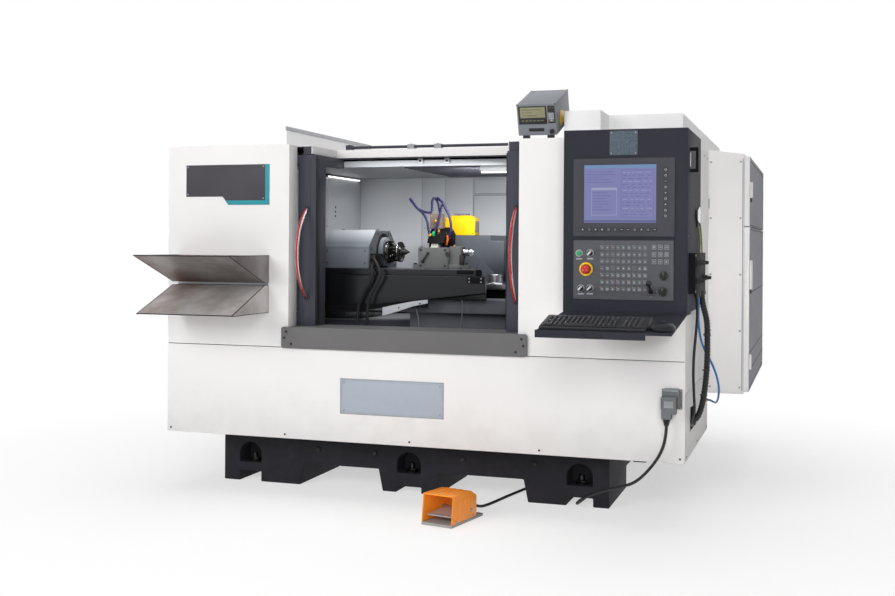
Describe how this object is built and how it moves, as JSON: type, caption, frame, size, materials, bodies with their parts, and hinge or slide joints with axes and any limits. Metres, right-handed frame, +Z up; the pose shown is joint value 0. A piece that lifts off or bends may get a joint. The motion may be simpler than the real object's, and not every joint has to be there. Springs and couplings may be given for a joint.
{
  "type": "cylindrical grinder",
  "caption": "Cylindrical grinder in a sheet-metal enclosure with sliding doors, control console, keyboard shelf, side cabinet, part trays and a foot pedal.",
  "frame": {"origin": "middle of the footprint, on the floor", "axes": "+X to the right and +Y to the back when facing the doors, +Z up"},
  "size_m": [2.718, 3.052, 1.9334],
  "materials": {
    "bed_casting": "painted, semi-matt",
    "zinc_steel": "zinc plated",
    "white_sheet": "fine texture powder coat",
    "inner_sheet": "satin",
    "pan_sheet": "satin",
    "dark_frame": "semi-matt",
    "sill_paint": "fine texture powder coat",
    "clear_window": "clear",
    "chrome_bar": "polished",
    "drive_grey": "satin",
    "lever_metal": "satin",
    "console_paint": "semi-matt",
    "bezel_plastic": "matt",
    "display_glass": "lit display",
    "membrane": "matt membrane",
    "green_plastic": "gloss",
    "knob_plastic": "gloss",
    "red_plastic": "gloss",
    "black_plastic": "matt",
    "gauge_paint": "satin",
    "tray_steel": "worn brushed stainless",
    "black_guard": "semi-matt",
    "table_steel": "ground",
    "head_grey": "satin",
    "tail_grey": "satin",
    "chuck_steel": "blackened",
    "bright_steel": "polished",
    "abrasive": "rough",
    "yellow_paint": "gloss",
    "hose_plastic": "satin",
    "lamp_white": "lit",
    "socket_grey": "matt",
    "cable_black": "matt",
    "orange_plastic": "satin",
    "pedal_grey": "cast"
  },
  "bodies": {
    "machine": {"machine_bed": "bed_casting", "levelling_screws": "zinc_steel", "lower_skirt": "white_sheet", "left_housing": "white_sheet", "right_housing": "white_sheet", "inner_panels": "inner_sheet", "floor_pan": "pan_sheet", "roof_panel": "white_sheet", "roof_covers": "white_sheet", "door_sill": "sill_paint", "electrical_cabinet": "white_sheet", "cabinet_cover": "white_sheet", "drive_units": "drive_grey", "console_box": "console_paint", "screen_bezel": "bezel_plastic", "screen": "display_glass", "control_panel": "membrane", "keyboard_shelf": "console_paint", "keyboard": "black_plastic", "mouse": "black_plastic", "gauge_case": "gauge_paint", "part_trays": "tray_steel", "led_lamps": "lamp_white", "pedal_socket": "socket_grey", "pedal_cable": "cable_black", "pedal_guard": "orange_plastic", "pedal_base": "pedal_grey", "side_hoses": "cable_black"},
    "left_door": {"left_door_frame": "dark_frame", "left_door_window": "clear_window", "left_door_handle": "chrome_bar"},
    "right_door": {"right_door_frame": "dark_frame", "right_door_window": "clear_window", "right_door_handle": "chrome_bar"},
    "upper_cabinet_door": {"cabinet_door_upper": "white_sheet"},
    "lower_cabinet_door": {"cabinet_door_lower": "white_sheet"},
    "main_switch": {"main_switch": "lever_metal"},
    "green_button": {"green_button": "green_plastic"},
    "selector_knob_1": {"selector_knob_1": "knob_plastic"},
    "selector_knob_2": {"selector_knob_2": "knob_plastic"},
    "selector_knob_3": {"selector_knob_3": "knob_plastic"},
    "estop_button": {"estop_button": "red_plastic"},
    "jog_lever": {"jog_lever": "black_plastic"},
    "override_knob_upper": {"override_knob_upper": "black_plastic"},
    "override_knob_lower": {"override_knob_lower": "black_plastic"},
    "gauge_bail": {"gauge_bail": "bright_steel"},
    "table_slide": {"table_slide": "black_guard"},
    "swivel_table": {"swivel_table": "table_steel", "workhead": "head_grey", "tailstock": "tail_grey"},
    "chuck": {"chuck": "chuck_steel"},
    "tailstock_barrel": {"tailstock_barrel": "bright_steel"},
    "tailstock_lever": {"tailstock_lever": "black_plastic"},
    "wheelhead_slide": {"wheelhead_slide": "dark_frame"},
    "wheelhead": {"wheelhead": "head_grey", "wheel_guard": "black_guard", "motor_box": "yellow_paint", "coolant_hoses": "hose_plastic"},
    "grinding_wheel": {"grinding_wheel": "abrasive"},
    "pedal_treadle": {"pedal_treadle": "pedal_grey"}
  },
  "joints": [
    {"name": "left_door_slide", "type": "slide", "parent": "machine", "child": "left_door", "axis": [1, 0, 0], "range_m": [0, 0.462]},
    {"name": "right_door_slide", "type": "slide", "parent": "machine", "child": "right_door", "axis": [1, 0, 0], "range_m": [-0.484, 0]},
    {"name": "upper_cabinet_hinge", "type": "hinge", "parent": "machine", "child": "upper_cabinet_door", "pos_m": [1.351, 1.518, 1.48], "axis": [0, 0, 1], "range_deg": [0, 110]},
    {"name": "lower_cabinet_hinge", "type": "hinge", "parent": "machine", "child": "lower_cabinet_door", "pos_m": [1.351, 1.518, 0.88], "axis": [0, 0, 1], "range_deg": [0, 110]},
    {"name": "main_switch_turn", "type": "hinge", "parent": "machine", "child": "main_switch", "pos_m": [1.177, -0.699, 1.335], "axis": [1, 0, 0], "range_deg": [0, 90]},
    {"name": "green_button_press", "type": "slide", "parent": "machine", "child": "green_button", "axis": [0, 1, 0], "range_m": [0, 0.003], "stiffness_N_per_m": 500},
    {"name": "selector_knob_1_turn", "type": "hinge", "parent": "machine", "child": "selector_knob_1", "pos_m": [0.774, -1.03, 1.167], "axis": [0, 1, 0], "range_deg": [-45, 45]},
    {"name": "selector_knob_2_turn", "type": "hinge", "parent": "machine", "child": "selector_knob_2", "pos_m": [0.735, -1.03, 1.018], "axis": [0, 1, 0], "range_deg": [-45, 45]},
    {"name": "selector_knob_3_turn", "type": "hinge", "parent": "machine", "child": "selector_knob_3", "pos_m": [0.774, -1.03, 1.019], "axis": [0, 1, 0], "range_deg": [-45, 45]},
    {"name": "estop_press", "type": "slide", "parent": "machine", "child": "estop_button", "axis": [0, 1, 0], "range_m": [0, 0.005], "stiffness_N_per_m": 800},
    {"name": "jog_lever_tilt", "type": "hinge", "parent": "machine", "child": "jog_lever", "pos_m": [1.031, -1.04, 1.009], "axis": [1, 0, 0], "range_deg": [-12, 12], "stiffness_Nm_per_rad": 2},
    {"name": "override_upper_turn", "type": "hinge", "parent": "machine", "child": "override_knob_upper", "pos_m": [1.083, -1.03, 1.076], "axis": [0, 1, 0], "range_deg": [-120, 120]},
    {"name": "override_lower_turn", "type": "hinge", "parent": "machine", "child": "override_knob_lower", "pos_m": [1.079, -1.03, 1.01], "axis": [0, 1, 0], "range_deg": [-120, 120]},
    {"name": "gauge_bail_fold", "type": "hinge", "parent": "machine", "child": "gauge_bail", "pos_m": [0.383, -0.50592, 1.8023], "axis": [1, 0, 0], "range_deg": [0, 90]},
    {"name": "table_travel", "type": "slide", "parent": "machine", "child": "table_slide", "axis": [1, 0, 0], "range_m": [-0.05, 0.5]},
    {"name": "table_swivel", "type": "hinge", "parent": "table_slide", "child": "swivel_table", "pos_m": [-0.3765, -0.384, 1.046], "axis": [0, 0, 1], "range_deg": [-4, 4]},
    {"name": "chuck_spin", "type": "hinge", "parent": "swivel_table", "child": "chuck", "pos_m": [-0.424, -0.309, 1.16], "axis": [1, 0, 0], "continuous": true},
    {"name": "tailstock_barrel_slide", "type": "slide", "parent": "swivel_table", "child": "tailstock_barrel", "axis": [1, 0, 0], "range_m": [-0.05, 0]},
    {"name": "tailstock_lever_turn", "type": "hinge", "parent": "swivel_table", "child": "tailstock_lever", "pos_m": [-0.206, -0.369, 1.114], "axis": [0, 1, 0], "range_deg": [-61, 0]},
    {"name": "wheelhead_infeed", "type": "slide", "parent": "machine", "child": "wheelhead_slide", "axis": [0, 1, 0], "range_m": [-0.12, 0.1]},
    {"name": "wheelhead_swivel", "type": "hinge", "parent": "wheelhead_slide", "child": "wheelhead", "pos_m": [0.041, 0.276, 1], "axis": [0, 0, 1], "range_deg": [-15, 15]},
    {"name": "wheel_spin", "type": "hinge", "parent": "wheelhead", "child": "grinding_wheel", "pos_m": [-0.249, 0.051, 1.16], "axis": [1, 0, 0], "continuous": true},
    {"name": "treadle_press", "type": "hinge", "parent": "machine", "child": "pedal_treadle", "pos_m": [0.18889, -1.02835, 0.046], "axis": [0.9781, -0.2079, 0], "range_deg": [0, 8], "stiffness_Nm_per_rad": 5, "springref_deg": -20.05}
  ],
  "couplings": [
    {"joint": "tailstock_lever_turn", "follows": "tailstock_barrel_slide", "rad_per_m": 20.944}
  ]
}
